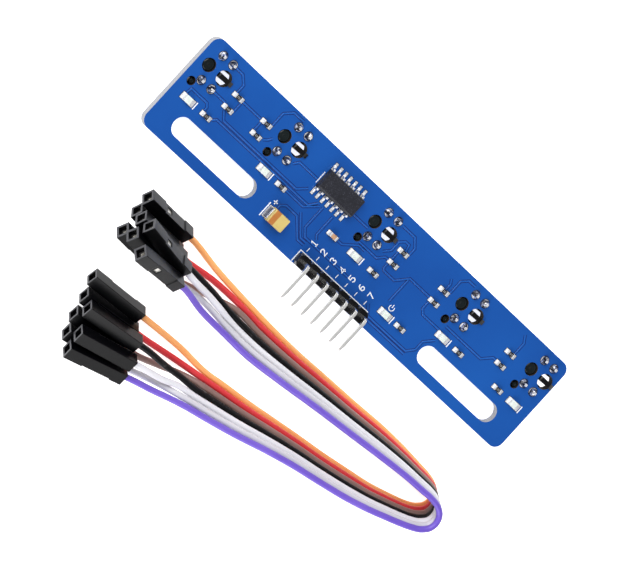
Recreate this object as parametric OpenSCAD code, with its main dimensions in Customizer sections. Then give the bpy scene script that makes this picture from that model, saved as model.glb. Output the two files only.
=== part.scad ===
// Five-channel reflective line sensor bar for a line-following robot, with its seven-way jumper lead.
// Units are millimetres, +Z is up, and the sensors stand on the plane z = 0.
// X runs along the bar and Y across it. The header points towards -Y.

/* [Board] */
// Length of the circuit board along X
board_l = 95; // [95:1:110]
// Width of the circuit board along Y
board_w = 20; // [20:1:24]
// Thickness of the circuit board
board_t = 1.6; // [1.2:0.2:2]
// Radius of the board's corners
corner_r = 1.8; // [0.5:0.1:3]

/* [Mounting slots] */
// Distance between the centres of the two mounting slots
slot_spacing = 65; // [62:1:68]
// Width of each mounting slot
slot_w = 3.9; // [3:0.1:4.2]
// Length of each mounting slot from end to end
slot_l = 20.4; // [16:0.2:21]
// How far the slots lie from the board's centre line, towards the header
slot_offset = 5.95; // [5.9:0.05:6.2]

/* [Sensors] */
// Height of a sensor housing below the board
sensor_h = 3.4; // [3.2:0.1:6]
// Size of a sensor housing along X
sensor_w = 5.8; // [5.8:0.1:6.2]
// Size of a sensor housing along Y
sensor_l = 9.6; // [9.6:0.1:10]
// Radius of the two wells that hold the lenses
well_r = 1.75; // [1.7:0.05:1.8]
// Radius of a lens
lens_r = 1.6; // [1.4:0.05:1.6]

/* [Header] */
// Spacing of the header pins and of the connectors
pin_pitch = 2.54; // [2.54:0.01:2.6]
// Thickness of a square header pin
pin_w = 0.64; // [0.5:0.02:0.64]
// Height of the header's plastic strip
strip_h = 1.5; // [1:0.1:2.6]
// How far the pins reach beyond the board's edge
pin_reach = 5.9; // [5:0.1:8]

/* [Jumper lead] */
// Length of a connector housing
plug_l = 12.1; // [11:0.1:14]
// Width and height of a connector housing
plug_w = 2.5; // [2.3:0.05:2.5]
// Width of the square socket in a connector housing
socket_w = 1.6; // [1.4:0.05:1.7]
// Diameter of one insulated wire
wire_d = 1.2; // [0.8:0.05:1.22]
// Distance between neighbouring wires of the ribbon
ribbon_pitch = 1.3; // [1.28:0.01:1.35]

/* [Hidden] */
$fn = 48;
eps = 0.01;

// Heights of the board's two faces, and the board's centre line. The frame's origin is under the
// middle of the bar measured with its header pins, so the board's centre is moved off it.
board_bottom = sensor_h;
board_top = sensor_h + board_t;
board_y = pin_reach / 2;

// Centres of the five sensors along the bar, measured from the board's centre
sensor_xs = [-42.9, -23.3, 0.7, 24.4, 43.7];
sensor_y = 5.1;

// Places inside one sensor, measured from its centre
lead_x = 1.27;
lead_y = 2.8;
lead_w = 0.5;
lead_hole_r = 0.45;
lens_y = 2.9;
well_h = 2.5;
sensor_corner_r = 1.5;
post_at = [-2.1, 0];
post_r = 1.15;
post_hole_r = 1.3;
peg_at = [-2.6, -4.05];
peg_r = 0.5;
peg_hole_r = 0.85;
clip_at = [1.7, 0];
clip_hole_r = 1.5;
clip_gap_x = 0.95;
clip_gap_w = 2.3;
clip_t = 0.9;

// Solder fillets on the sensor leads
solder_r = 0.85;
solder_h = 0.9;

// Header
header_x = 0.65;
header_n = 7;
header_y = -board_w / 2 + 1.25;
strip_w = 2.5;
strip_chamfer = 0.55;
bend_r = 0.8;
pin_rise = 4.1;
pin_tail = 1;
pin_tip_l = 1.2;
pin_tip_w = 0.34;

// Comparator in a 14-lead small outline package
chip_at = [-10.5, 4.5];
chip_l = 8.65;
chip_w = 3.9;
chip_stand = 0.15;
chip_h = 1.45;
chip_pitch = 1.27;
chip_foot = 3.05;

// Small parts on the board, as places measured from the board's centre
lamp_xs = [-43.6, -23.9, 0.1, 23.9, 43.6];
lamp_y = -1.7;
power_lamp_at = [12.3, -5.6];
lamp_l = 2;
lamp_w = 1.25;
lamp_h = 0.75;
resistor_at = [
    for (x = [-36.9, -29.6, 6.8, 17.9, 36.3]) for (y = [4.5, 1.8]) [x, y],
    for (x = [-39, -19.5, 5, 28.3, 39.2]) [x, -1.7],
    [16.3, -5.6]
];
bypass_at = [-5.7, -1.8];
chip_part_l = 1.6;
chip_part_w = 0.8;
chip_part_h = 0.45;
chip_part_end = 0.32;
tantalum_at = [-16.15, -6.4];
tantalum_l = 3.5;
tantalum_w = 2.8;
tantalum_h = 1.9;

// Colours
board_blue = [0.13, 0.33, 0.66];
black_plastic = [0.09, 0.09, 0.1];
tin = [0.78, 0.78, 0.8];
solder_grey = [0.7, 0.71, 0.73];

// The lead's seven colours in ribbon order
wire_colours = [
    [1, 0.7, 0.42], [0.84, 0.24, 0.26], [0.5, 0.4, 0.38], [0.1, 0.1, 0.11],
    [0.92, 0.92, 0.94], [0.8, 0.8, 0.84], [0.45, 0.33, 0.8]
];

// Connector housings in ribbon order: the middle of the open end, then the turn about Z, the tilt
// that lifts the open end, and the roll about the housing's own length
plugs_a = [
    [[-36.6, -15.7, 4.6], -1, 13, -57],
    [[-36, -18.6, 3.5], -3, 8, 33],
    [[-36.3, -22.8, 5.5], -2, 16, 33],
    [[-35.7, -19.1, 6.3], -3, 8.2, 33],
    [[-34.9, -19.2, 9.3], -7.1, 9.4, -57],
    [[-36, -22.2, 9.1], -3.5, 16.5, 33],
    [[-34.4, -23.6, 13.1], 2, 21, 33]
];
plugs_b = [
    [[-33.2, -32.3, 2.2], 3, 2, 208],
    [[-32, -35.6, 2.2], 5, 2, 208],
    [[-31.1, -39.2, 2.2], 7, 1.7, 208],
    [[-31, -36.9, 4.8], 6, 2, 208],
    [[-29.4, -41.1, 5.5], 11.5, 2, 208],
    [[-29.8, -42.3, 2.2], 9, 2, 208],
    [[-28.5, -44.4, 4.4], 14, 2, 118]
];

// Route of the ribbon: x and y of the orange edge, which lies on the surface, and the angle in
// degrees by which the ribbon stands up from flat, with its purple edge towards -Y
ribbon_route = [
    [-8, -17.6, 31], [-2, -18, 34], [6, -18.3, 45], [14, -18.2, 52], [22, -18.1, 57],
    [30, -17.9, 61], [36, -18.1, 66], [40, -18.4, 69], [42.55, -18.6, 71], [44.55, -19, 72],
    [45.75, -19.6, 72], [46.4, -20.3, 72], [46.75, -21.15, 72], [46.8, -21.95, 72],
    [46.5, -22.95, 72], [46.05, -23.5, 72], [45.15, -24.25, 72], [43.45, -25.05, 72],
    [40.95, -25.8, 71], [38.2, -26.5, 70],
    [35, -27.2, 68], [30, -27.9, 64], [24, -28.7, 62],
    [18, -29.3, 59], [12, -30, 54], [6, -30.7, 46], [0, -31.2, 37], [-4, -31.6, 32]
];

// Points of each separate wire between its connector and the ribbon, from the connector inwards
fan_a = [
    [[-16, -16.9, 0.9]],
    [[-15, -18.7, 1]],
    [[-17.5, -22.3, 0.8], [-12.5, -20.9, 0.9]],
    [[-15.5, -20.2, 3.4]],
    [[-15.5, -21.2, 4.9], [-11.5, -21.6, 4.1]],
    [[-15.5, -22.6, 4.3]],
    [[-15, -24, 5.9]]
];
fan_b = [
    [[-11, -31.3, 0.9]],
    [[-11, -33.5, 1.2]],
    [[-12, -36.2, 0.8], [-7.5, -34.7, 1]],
    [[-12, -35.3, 3.8], [-8, -35, 3.1]],
    [[-11, -37.4, 4.6], [-7.5, -36.4, 3.8]],
    [[-11, -38.7, 2.6], [-7.5, -37.8, 3.7]],
    [[-11, -40.1, 3.9], [-7.5, -39.1, 4.3]]
];
recess_x = 3.9;
recess_l = 5.8;
recess_depth = 0.2;
wire_lead_out = 2.5;
wire_gap = 0.02;
wire_sides = 8;

function unit(v) = v / norm(v);
function plug_axis(p) = [cos(p[2]) * cos(p[1]), cos(p[2]) * sin(p[1]), -sin(p[2])];
function plug_exit(p, out) = p[0] + (plug_l + out) * plug_axis(p);
function reversed(list) = [for (i = [len(list) - 1:-1:0]) list[i]];
function ribbon_point(s, k) = [s[0], s[1], wire_d / 2 + eps] + k * ribbon_pitch * [0, -cos(s[2]), sin(s[2])];

// Centre line of wire k from one connector to the other
function wire_route(k) = concat(
    [plug_exit(plugs_a[k], wire_gap), plug_exit(plugs_a[k], wire_lead_out)],
    fan_a[k],
    [for (s = ribbon_route) ribbon_point(s, k)],
    reversed(fan_b[k]),
    [plug_exit(plugs_b[k], wire_lead_out), plug_exit(plugs_b[k], wire_gap)]
);

// Directions of a route at its points. The ends follow the connectors' axes exactly.
function route_tangents(pts, first, last) = [
    for (i = [0:len(pts) - 1])
        i == 0 ? first
        : i == len(pts) - 1 ? last
        : unit(unit(pts[i + 1] - pts[i]) + unit(pts[i] - pts[i - 1]))
];

function ring(p, t, r, n) =
    let (side = unit(cross(t, [0, 0, 1])), up = cross(side, t))
    [for (j = [0:n - 1]) p + r * (cos(360 * j / n) * side + sin(360 * j / n) * up)];

// Tube of n sides along a route
module tube(pts, tangents, r, n) {
    last = len(pts) - 1;
    polyhedron(
        points = [for (i = [0:last]) each ring(pts[i], tangents[i], r, n)],
        faces = concat(
            [[for (j = [0:n - 1]) j]],
            [for (i = [0:last - 1]) for (j = [0:n - 1]) [i * n + j, (i + 1) * n + j, i * n + (j + 1) % n]],
            [for (i = [0:last - 1]) for (j = [0:n - 1])
                [i * n + (j + 1) % n, (i + 1) * n + j, (i + 1) * n + (j + 1) % n]],
            [[for (j = [n - 1:-1:0]) last * n + j]]
        )
    );
}

module centred_box(size, base) {
    translate([-size[0] / 2, -size[1] / 2, base]) cube(size);
}

// Puts a part at a place on the board's top face
module on_board(at) {
    translate([at[0], board_y + at[1], board_top]) children();
}

module at_sensor(i) {
    translate([sensor_xs[i], board_y + sensor_y, 0]) children();
}

module circuit_board() {
    color(board_blue)
        translate([0, board_y, board_bottom])
            difference() {
                board_blank();
                for (x = [-1, 1]) translate([x * slot_spacing / 2, -slot_offset, 0]) mounting_slot();
                for (x = sensor_xs) translate([x, sensor_y, 0]) sensor_holes();
                for (k = [0:header_n - 1]) translate([pin_x(k), header_y, 0]) through_hole(0.5);
            }
}

module board_blank() {
    inner_l = board_l - 2 * corner_r;
    inner_w = board_w - 2 * corner_r;
    centred_box([board_l, inner_w, board_t], 0);
    centred_box([inner_l, board_w, board_t], 0);
    for (x = [-1, 1])
        for (y = [-1, 1])
            translate([x * inner_l / 2, y * inner_w / 2, 0]) cylinder(r = corner_r, h = board_t);
}

module through_hole(r) {
    translate([0, 0, -1]) cylinder(r = r, h = board_t + 2);
}

module mounting_slot() {
    straight = slot_l - slot_w;
    for (x = [-1, 1]) translate([x * straight / 2, 0, 0]) through_hole(slot_w / 2);
    centred_box([straight, slot_w, board_t + 2], -1);
}

module sensor_holes() {
    translate(post_at) through_hole(post_hole_r);
    translate(peg_at) through_hole(peg_hole_r);
    translate(clip_at) through_hole(clip_hole_r);
    sensor_lead_places() through_hole(lead_hole_r);
}

module sensor_lead_places() {
    for (x = [-1, 1]) for (y = [-1, 1]) translate([x * lead_x, y * lead_y, 0]) children();
}

module sensor_housing(i) {
    color(black_plastic)
        at_sensor(i) {
            difference() {
                sensor_block();
                for (y = [-1, 1]) translate([0, y * lens_y, -1]) cylinder(r = well_r, h = well_h + 1);
                sensor_lead_places() cylinder(r = 0.4, h = sensor_h + 1);
                translate([clip_gap_x, -clip_gap_w / 2, -1]) cube([sensor_w, clip_gap_w, sensor_h + 2]);
            }
            translate([post_at[0], post_at[1], sensor_h - eps])
                cylinder(r = post_r, h = board_t - 0.4);
            translate([peg_at[0] + 0.3, peg_at[1], sensor_h - eps])
                cylinder(r = peg_r, h = board_t - 0.5);
            clip();
        }
}

// Block with two rounded corners at the emitter's end
module sensor_block() {
    inner_x = sensor_w / 2 - sensor_corner_r;
    inner_y = sensor_l / 2 - sensor_corner_r;
    translate([-sensor_w / 2, -sensor_l / 2, 0]) cube([sensor_w, sensor_l - sensor_corner_r, sensor_h]);
    translate([-inner_x, -sensor_l / 2, 0]) cube([2 * inner_x, sensor_l, sensor_h]);
    for (x = [-1, 1]) translate([x * inner_x, inner_y, 0]) cylinder(r = sensor_corner_r, h = sensor_h);
}

// Springy leg that passes through the board and hooks over its top face
module clip() {
    top = board_t;
    translate([0, clip_t / 2, sensor_h])
        rotate([90, 0, 0])
            linear_extrude(clip_t)
                polygon([
                    [0.4, -2.4], [1.7, -2.4], [2.1, top + 0.05], [3.6, top + 0.05], [3.6, top + 0.25],
                    [2.7, top + 0.65], [0.6, top + 0.4], [0.4, top + 0.2]
                ]);
}

// One lens with its two leads. The emitter sits towards +Y and the receiver towards -Y.
module lens_and_leads(side) {
    dome_z = lens_r + 0.15;
    translate([0, side * lens_y, dome_z]) {
        cylinder(r = lens_r, h = well_h - dome_z - 0.05);
        intersection() {
            sphere(r = lens_r);
            translate([-5, -5, -5]) cube([10, 10, 5 + eps]);
        }
    }
    for (x = [-1, 1])
        translate([x * lead_x, side * lead_y, 0])
            centred_box([lead_w, lead_w, board_top + 1.15 - 2.3], 2.3);
}

module emitter(i) {
    color([0.72, 0.78, 0.9]) at_sensor(i) lens_and_leads(1);
}

module receiver(i) {
    color([0.12, 0.1, 0.14]) at_sensor(i) lens_and_leads(-1);
}

module sensor_solder() {
    color(solder_grey)
        for (i = [0:len(sensor_xs) - 1])
            at_sensor(i)
                translate([0, 0, board_top])
                    sensor_lead_places()
                        difference() {
                            cylinder(r1 = solder_r, r2 = 0.42, h = solder_h);
                            translate([0, 0, -1]) cylinder(r = 0.37, h = solder_h + 2);
                        }
}

// Moulded body with a draft on its long sides and a dimple at lead 1
module comparator_body() {
    half = chip_w / 2;
    color([0.15, 0.15, 0.16])
        on_board(chip_at)
            difference() {
                translate([-chip_l / 2, 0, 0])
                    rotate([90, 0, 90])
                        linear_extrude(chip_l)
                            polygon([
                                [-half + 0.12, chip_stand], [half - 0.12, chip_stand],
                                [half, chip_stand + chip_h / 2], [half - 0.12, chip_stand + chip_h],
                                [-half + 0.4, chip_stand + chip_h], [-half, chip_stand + chip_h - 0.35]
                            ]);
                translate([-chip_l / 2 + 0.8, -half + 1, chip_stand + chip_h - 0.1])
                    cylinder(r = 0.35, h = 1);
            }
}

module comparator_leads() {
    color(tin)
        on_board(chip_at)
            for (side = [0, 180])
                rotate([0, 0, side])
                    for (k = [-3:3])
                        translate([k * chip_pitch - 0.21, 0, 0])
                            rotate([90, 0, 90])
                                linear_extrude(0.42) gull_wing();
}

// Side outline of one lead, from the body out to the foot
module gull_wing() {
    y0 = chip_w / 2 + 0.01;
    z0 = chip_stand + chip_h / 2;
    polygon([
        [y0, z0 + 0.1], [y0 + 0.4, z0 + 0.1], [y0 + 0.65, 0.22], [chip_foot, 0.22], [chip_foot, 0.02],
        [y0 + 0.48, 0.02], [y0 + 0.25, z0 - 0.1], [y0, z0 - 0.1]
    ]);
}

module bulk_capacitor() {
    color([0.92, 0.8, 0.42])
        on_board(tantalum_at)
            translate([-tantalum_l / 2, 0, 0])
                rotate([90, 0, 90])
                    linear_extrude(tantalum_l)
                        polygon([
                            [-tantalum_w / 2 + 0.1, 0.15], [tantalum_w / 2 - 0.1, 0.15],
                            [tantalum_w / 2, 0.95], [tantalum_w / 2 - 0.1, tantalum_h],
                            [-tantalum_w / 2 + 0.1, tantalum_h], [-tantalum_w / 2, 0.95]
                        ]);
}

// Strap up each end of the body, folded under it
module bulk_capacitor_ends() {
    color(tin)
        on_board(tantalum_at)
            for (side = [0, 180])
                rotate([0, 0, side])
                    translate([-tantalum_l / 2 - 0.16, 1.1, 0])
                        rotate([90, 0, 0])
                            linear_extrude(2.2)
                                polygon([
                                    [0, 0.01], [0.95, 0.01], [0.95, 0.14],
                                    [0.15, 0.14], [0.15, 1.2], [0, 1.2]
                                ]);
}

// Box with two plated ends, the shape of a surface-mounted part
module part_body(size) {
    on_board([0, 0]) centred_box(size, 0.02);
}

module end_caps(at, length, size) {
    on_board(at)
        for (side = [-1, 1])
            translate([side * (length / 2 + size[0] / 2), 0, 0]) centred_box(size, 0.01);
}

module bypass_capacitor() {
    color([0.72, 0.55, 0.42])
        translate(bypass_at) part_body([chip_part_l - 2 * chip_part_end, chip_part_w, 0.8]);
}

module bypass_capacitor_ends() {
    color(tin)
        end_caps(bypass_at, chip_part_l - 2 * chip_part_end, [chip_part_end, chip_part_w + 0.02, 0.82]);
}

// Base, with the moulded lens standing on it
module lamp() {
    body_l = lamp_l - 0.6;
    on_board([0, 0])
        translate([-body_l / 2, lamp_w / 2, 0])
            rotate([90, 0, 0])
                linear_extrude(lamp_w)
                    polygon([
                        [0, 0.02], [body_l, 0.02], [body_l, 0.35],
                        [body_l - 0.12, lamp_h], [0.12, lamp_h], [0, 0.35]
                    ]);
}

module channel_lamp(i) {
    color([0.95, 0.95, 0.93]) translate([lamp_xs[i], lamp_y, 0]) lamp();
}

module power_lamp() {
    color([0.95, 0.95, 0.93]) translate(power_lamp_at) lamp();
}

module lamp_ends() {
    color(tin)
        for (at = concat([for (x = lamp_xs) [x, lamp_y]], [power_lamp_at]))
            end_caps(at, lamp_l - 0.6, [0.3, lamp_w, 0.36]);
}

module resistor_bodies() {
    color([0.12, 0.12, 0.13])
        for (at = resistor_at)
            translate(at) part_body([chip_part_l - 2 * chip_part_end, chip_part_w, chip_part_h]);
}

module resistor_ends() {
    color(tin)
        for (at = resistor_at)
            end_caps(
                at, chip_part_l - 2 * chip_part_end,
                [chip_part_end, chip_part_w + 0.02, chip_part_h + 0.02]
            );
}

function pin_x(k) = header_x + (k - (header_n - 1) / 2) * pin_pitch;

// Row of eight-sided blocks, one round each pin
module header_strip() {
    half = pin_pitch / 2;
    depth = strip_w / 2;
    cut = strip_chamfer;
    color(black_plastic)
        for (k = [0:header_n - 1])
            on_board([pin_x(k), header_y])
                linear_extrude(strip_h)
                    difference() {
                        polygon([
                            [-half, -depth + cut], [-half + cut, -depth],
                            [half - cut, -depth], [half, -depth + cut],
                            [half, depth - cut], [half - cut, depth],
                            [-half + cut, depth], [-half, depth - cut]
                        ]);
                        square(pin_w + 0.02, center = true);
                    }
}

// Square pins that rise through the strip and turn out over the board's edge
module header_pins() {
    color(tin)
        for (k = [0:header_n - 1])
            translate([pin_x(k), board_y + header_y, 0]) header_pin();
}

module header_pin() {
    bottom = board_bottom - pin_tail;
    bend_z = board_top + pin_rise - bend_r;
    centred_box([pin_w, pin_w, bend_z - bottom], bottom);
    translate([0, -bend_r, bend_z])
        rotate([90, 0, 90])
            rotate_extrude(angle = 90)
                translate([bend_r, 0]) square(pin_w, center = true);
    translate([0, -bend_r, bend_z + bend_r]) rotate([0, 0, -90]) pin_run();
}

// Straight end of a pin along X, with a tip that narrows on all four sides
module pin_run() {
    run_l = pin_reach + header_y + board_w / 2 - bend_r;
    half = pin_w / 2;
    outline = [
        [0, -half], [run_l - pin_tip_l, -half], [run_l, -pin_tip_w / 2],
        [run_l, pin_tip_w / 2], [run_l - pin_tip_l, half], [0, half]
    ];
    intersection() {
        translate([0, 0, -half]) linear_extrude(pin_w) polygon(outline);
        rotate([90, 0, 0])
            translate([0, 0, -half]) linear_extrude(pin_w) polygon(outline);
    }
}

module header_solder() {
    color(solder_grey)
        for (k = [0:header_n - 1])
            translate([pin_x(k), board_y + header_y, board_bottom - 0.8])
                difference() {
                    cylinder(r1 = 0.5, r2 = 0.85, h = 0.8);
                    translate([0, 0, -1]) cylinder(r = 0.46, h = 3);
                }
}

module at_plug(p) {
    translate(p[0]) rotate([p[3], p[2], p[1]]) children();
}

// Housing with a square socket along it, and a window for the contact's latch in a shallow recess
module plug(p) {
    half = plug_w / 2;
    color(black_plastic)
        at_plug(p)
            difference() {
                translate([0, -half, -half]) cube([plug_l, plug_w, plug_w]);
                translate([-1, -socket_w / 2, -socket_w / 2]) cube([plug_l - 0.4, socket_w, socket_w]);
                translate([recess_x, -plug_w, half - recess_depth]) cube([recess_l, 2 * plug_w, plug_w]);
                translate([recess_x + 0.7, -0.55, socket_w / 2 - 0.1]) cube([1.2, 1.1, plug_w]);
            }
}

// Sprung metal box that grips a pin inside each housing
module contacts(plugs) {
    half = socket_w / 2 - 0.05;
    color([0.82, 0.78, 0.66])
        for (p = plugs)
            at_plug(p)
                difference() {
                    translate([0.9, -half, -half]) cube([6.4, 2 * half, 2 * half]);
                    translate([-1, -0.38, -0.38]) cube([7.5, 0.76, 0.76]);
                }
}

module wire(k) {
    route = wire_route(k);
    tangents = route_tangents(route, plug_axis(plugs_a[k]), -plug_axis(plugs_b[k]));
    color(wire_colours[k]) tube(route, tangents, wire_d / 2, wire_sides);
}

circuit_board();
sensor_housing(0);  // sensor_housing_1
sensor_housing(1);  // sensor_housing_2
sensor_housing(2);  // sensor_housing_3
sensor_housing(3);  // sensor_housing_4
sensor_housing(4);  // sensor_housing_5
emitter(0);  // emitter_1
emitter(1);  // emitter_2
emitter(2);  // emitter_3
emitter(3);  // emitter_4
emitter(4);  // emitter_5
receiver(0);  // receiver_1
receiver(1);  // receiver_2
receiver(2);  // receiver_3
receiver(3);  // receiver_4
receiver(4);  // receiver_5
sensor_solder();
comparator_body();
comparator_leads();
bulk_capacitor();
bulk_capacitor_ends();
bypass_capacitor();
bypass_capacitor_ends();
channel_lamp(0);  // channel_lamp_1
channel_lamp(1);  // channel_lamp_2
channel_lamp(2);  // channel_lamp_3
channel_lamp(3);  // channel_lamp_4
channel_lamp(4);  // channel_lamp_5
power_lamp();
lamp_ends();
resistor_bodies();
resistor_ends();
header_strip();
header_pins();
header_solder();
plug(plugs_a[0]);  // plug_a_orange
plug(plugs_a[1]);  // plug_a_red
plug(plugs_a[2]);  // plug_a_brown
plug(plugs_a[3]);  // plug_a_black
plug(plugs_a[4]);  // plug_a_white
plug(plugs_a[5]);  // plug_a_grey
plug(plugs_a[6]);  // plug_a_purple
plug(plugs_b[0]);  // plug_b_orange
plug(plugs_b[1]);  // plug_b_red
plug(plugs_b[2]);  // plug_b_brown
plug(plugs_b[3]);  // plug_b_black
plug(plugs_b[4]);  // plug_b_white
plug(plugs_b[5]);  // plug_b_grey
plug(plugs_b[6]);  // plug_b_purple
contacts(plugs_a);  // contacts_a
contacts(plugs_b);  // contacts_b
wire(0);  // wire_orange
wire(1);  // wire_red
wire(2);  // wire_brown
wire(3);  // wire_black
wire(4);  // wire_white
wire(5);  // wire_grey
wire(6);  // wire_purple
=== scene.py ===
"""Line sensor bar with its jumper lead: looks, fine detail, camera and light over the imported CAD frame."""
import math

import bmesh
import bpy
from mathutils import Matrix, Vector


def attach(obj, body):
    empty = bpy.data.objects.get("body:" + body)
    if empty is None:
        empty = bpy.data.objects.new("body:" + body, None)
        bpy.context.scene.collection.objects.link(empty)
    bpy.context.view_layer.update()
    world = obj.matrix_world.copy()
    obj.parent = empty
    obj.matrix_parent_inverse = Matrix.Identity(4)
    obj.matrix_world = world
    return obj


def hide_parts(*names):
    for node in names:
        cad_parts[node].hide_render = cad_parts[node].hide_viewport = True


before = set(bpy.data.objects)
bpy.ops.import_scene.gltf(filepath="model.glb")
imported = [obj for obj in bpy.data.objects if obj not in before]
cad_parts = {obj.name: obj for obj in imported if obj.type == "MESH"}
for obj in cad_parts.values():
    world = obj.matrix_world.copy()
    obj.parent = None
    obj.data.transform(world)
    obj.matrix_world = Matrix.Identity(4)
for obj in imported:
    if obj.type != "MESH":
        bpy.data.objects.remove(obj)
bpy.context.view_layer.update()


# ---------------------------------------------------------------- sizes and places
# In millimetres in the row frame, and (x, y) places on the board are measured from its middle.

MM = 0.001              # one millimetre in Blender's metres


def node_box(name):
    """The lowest and the highest corner of a CAD node."""
    places = [vertex.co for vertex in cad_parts[name].data.vertices]
    return [[pick(place[i] for place in places) / MM for i in range(3)] for pick in (min, max)]


board_low, board_high = node_box("circuit_board")
BOARD_Y = (board_low[1] + board_high[1]) / 2
BOTTOM = board_low[2]   # the board's underside
TOP = board_high[2]     # the board's top face


def place_on_board(name):
    """The (x, y) of a CAD node's middle."""
    low, high = node_box(name)
    return (low[0] + high[0]) / 2, (low[1] + high[1]) / 2 - BOARD_Y


def sensor_place(i):
    """The (x, y) of sensor i, midway between its two lenses."""
    x, emitter_y = place_on_board(f"emitter_{i}")
    receiver_y = place_on_board(f"receiver_{i}")[1]
    return x, (emitter_y + receiver_y) / 2


SENSORS = [sensor_place(i) for i in range(1, 6)]
LEAD_X = 1.27           # from a sensor's middle to its leads, along the bar and across it
LEAD_Y = 2.8
SENSOR_LEADS = [(x + dx, y + dy) for x, y in SENSORS for dx in (-LEAD_X, LEAD_X) for dy in (-LEAD_Y, LEAD_Y)]
# Round each sensor: the places of its post, peg and clip from its middle, and their holes' radii
HOLES = [(-2.1, 0, 1.3), (-2.6, -4.05, 0.85), (1.7, 0, 1.5)]
# The same for the tops of the post and the peg, with their depth below the board's top face
CROWNS = [(-2.1, 0, 1.13, 0.41), (-2.3, -4.05, 0.48, 0.51)]
LAMPS = [place_on_board(f"channel_lamp_{i}") for i in range(1, 6)] + [place_on_board("power_lamp")]
CHIP = place_on_board("comparator_body")
CHIP_PITCH = 1.27
TANTALUM_AT = place_on_board("bulk_capacitor")
BYPASS = place_on_board("bypass_capacitor")
RESISTORS = [(x, y) for x in (-36.9, -29.6, 6.8, 17.9, 36.3) for y in (4.5, 1.8)]
RESISTORS += [(x, -1.7) for x in (-39, -19.5, 5, 28.3, 39.2)] + [(16.3, -5.6)]
HEADER = place_on_board("header_strip")
PIN_PITCH = 2.54
PINS = [(HEADER[0] + (k - 3) * PIN_PITCH, HEADER[1]) for k in range(7)]


# ---------------------------------------------------------------- camera

def make_camera():
    """The photograph's viewpoint: a long lens high over the bar's left end, rolled to one side."""
    data = bpy.data.cameras.new("camera")
    cam = bpy.data.objects.new("camera", data)
    bpy.context.scene.collection.objects.link(cam)
    data.lens = 271.4
    data.sensor_width = 36.0
    data.clip_start = 0.01
    right, up, back = (0.6581, 0.6744, 0.3349), (-0.6092, 0.7383, -0.2895), (-0.4425, -0.0135, 0.8967)
    turn = Matrix((right, up, back)).transposed().to_quaternion().normalized().to_matrix().to_4x4()
    cam.matrix_world = Matrix.Translation((-0.36404, -0.01922, 0.73817)) @ turn
    bpy.context.scene.camera = cam


make_camera()


# ---------------------------------------------------------------- materials

class Nodes:
    """A material's node tree, with short calls for the nodes used here."""

    def __init__(self, name):
        self.mat = bpy.data.materials.new(name)
        self.mat.use_nodes = True
        self.tree = self.mat.node_tree
        self.bsdf = self.tree.nodes["Principled BSDF"]
        self.coords = self.add("ShaderNodeTexCoord").outputs["Object"]

    def add(self, kind, **inputs):
        node = self.tree.nodes.new(kind)
        for key, value in inputs.items():
            self.put(node.inputs[key.replace("_", " ")], value)
        return node

    def put(self, socket, value):
        if isinstance(value, bpy.types.NodeSocket):
            self.tree.links.new(value, socket)
        else:
            socket.default_value = value

    def set(self, **inputs):
        for key, value in inputs.items():
            self.put(self.bsdf.inputs[key.replace("_", " ")], value)

    def noise(self, scale, detail, stretch=(1, 1, 1), rough=0.5):
        mapping = self.add("ShaderNodeMapping", Vector=self.coords)
        mapping.inputs["Scale"].default_value = stretch
        return self.add("ShaderNodeTexNoise", Vector=mapping.outputs[0], Scale=scale, Detail=detail,
                        Roughness=rough).outputs["Fac"]

    def wave(self, direction, scale, distortion, detail):
        """Soft bands that follow one another along an axis."""
        node = self.add("ShaderNodeTexWave", Vector=self.coords, Scale=scale, Distortion=distortion,
                        Detail=detail)
        node.bands_direction = direction
        return node.outputs["Color"]

    def mix(self, fac, a, b):
        """a where fac is 0, and b where it is 1."""
        node = self.tree.nodes.new("ShaderNodeMix")
        node.data_type = "RGBA"
        self.put(node.inputs[0], fac)
        self.put(node.inputs[6], a)
        self.put(node.inputs[7], b)
        return node.outputs[2]

    def math(self, operation, a, b=0.0, clamp=False):
        node = self.tree.nodes.new("ShaderNodeMath")
        node.operation = operation
        node.use_clamp = clamp
        self.put(node.inputs[0], a)
        self.put(node.inputs[1], b)
        return node.outputs[0]

    def scaled(self, value, share, base=0.0):
        """base plus that share of a value."""
        part = self.math("MULTIPLY", value, share)
        return self.math("ADD", base, part) if base else part

    def upward(self):
        """The Z of the surface's normal: 1 on a level top face."""
        normal = self.add("ShaderNodeNewGeometry").outputs["Normal"]
        return self.add("ShaderNodeSeparateXYZ", Vector=normal).outputs["Z"]

    def step(self, value, low, high):
        """0 below low, 1 above high."""
        node = self.tree.nodes.new("ShaderNodeMapRange")
        node.interpolation_type = "SMOOTHSTEP"
        self.put(node.inputs["Value"], value)
        node.inputs["From Min"].default_value = low
        node.inputs["From Max"].default_value = high
        return node.outputs[0]

    def bump(self, height, distance, strength):
        """Raises the surface by a height map, and gives the finished material."""
        node = self.add("ShaderNodeBump", Height=height, Distance=distance, Strength=strength)
        self.put(self.bsdf.inputs["Normal"], node.outputs[0])
        return self.mat


def rgb(r, g, b):
    """A colour as seen on screen, 0 to 255, as the linear colour that nodes take."""
    return tuple((c / 255) ** 2.2 for c in (r, g, b)) + (1.0,)


def plastic(name, low, high, rough, grain, depth=0.00001, spec=0.5, speck=0.08):
    """Moulded plastic: a faint cloud of tone, and a fine grain in the gloss and the surface."""
    n = Nodes(name)
    fine = n.noise(grain * 4, 2)
    n.set(Base_Color=n.mix(n.noise(260, 4), low, high), Roughness=n.scaled(fine, speck, rough - speck / 2),
          Specular_IOR_Level=spec)
    return n.bump(fine, depth, 0.4)


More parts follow.
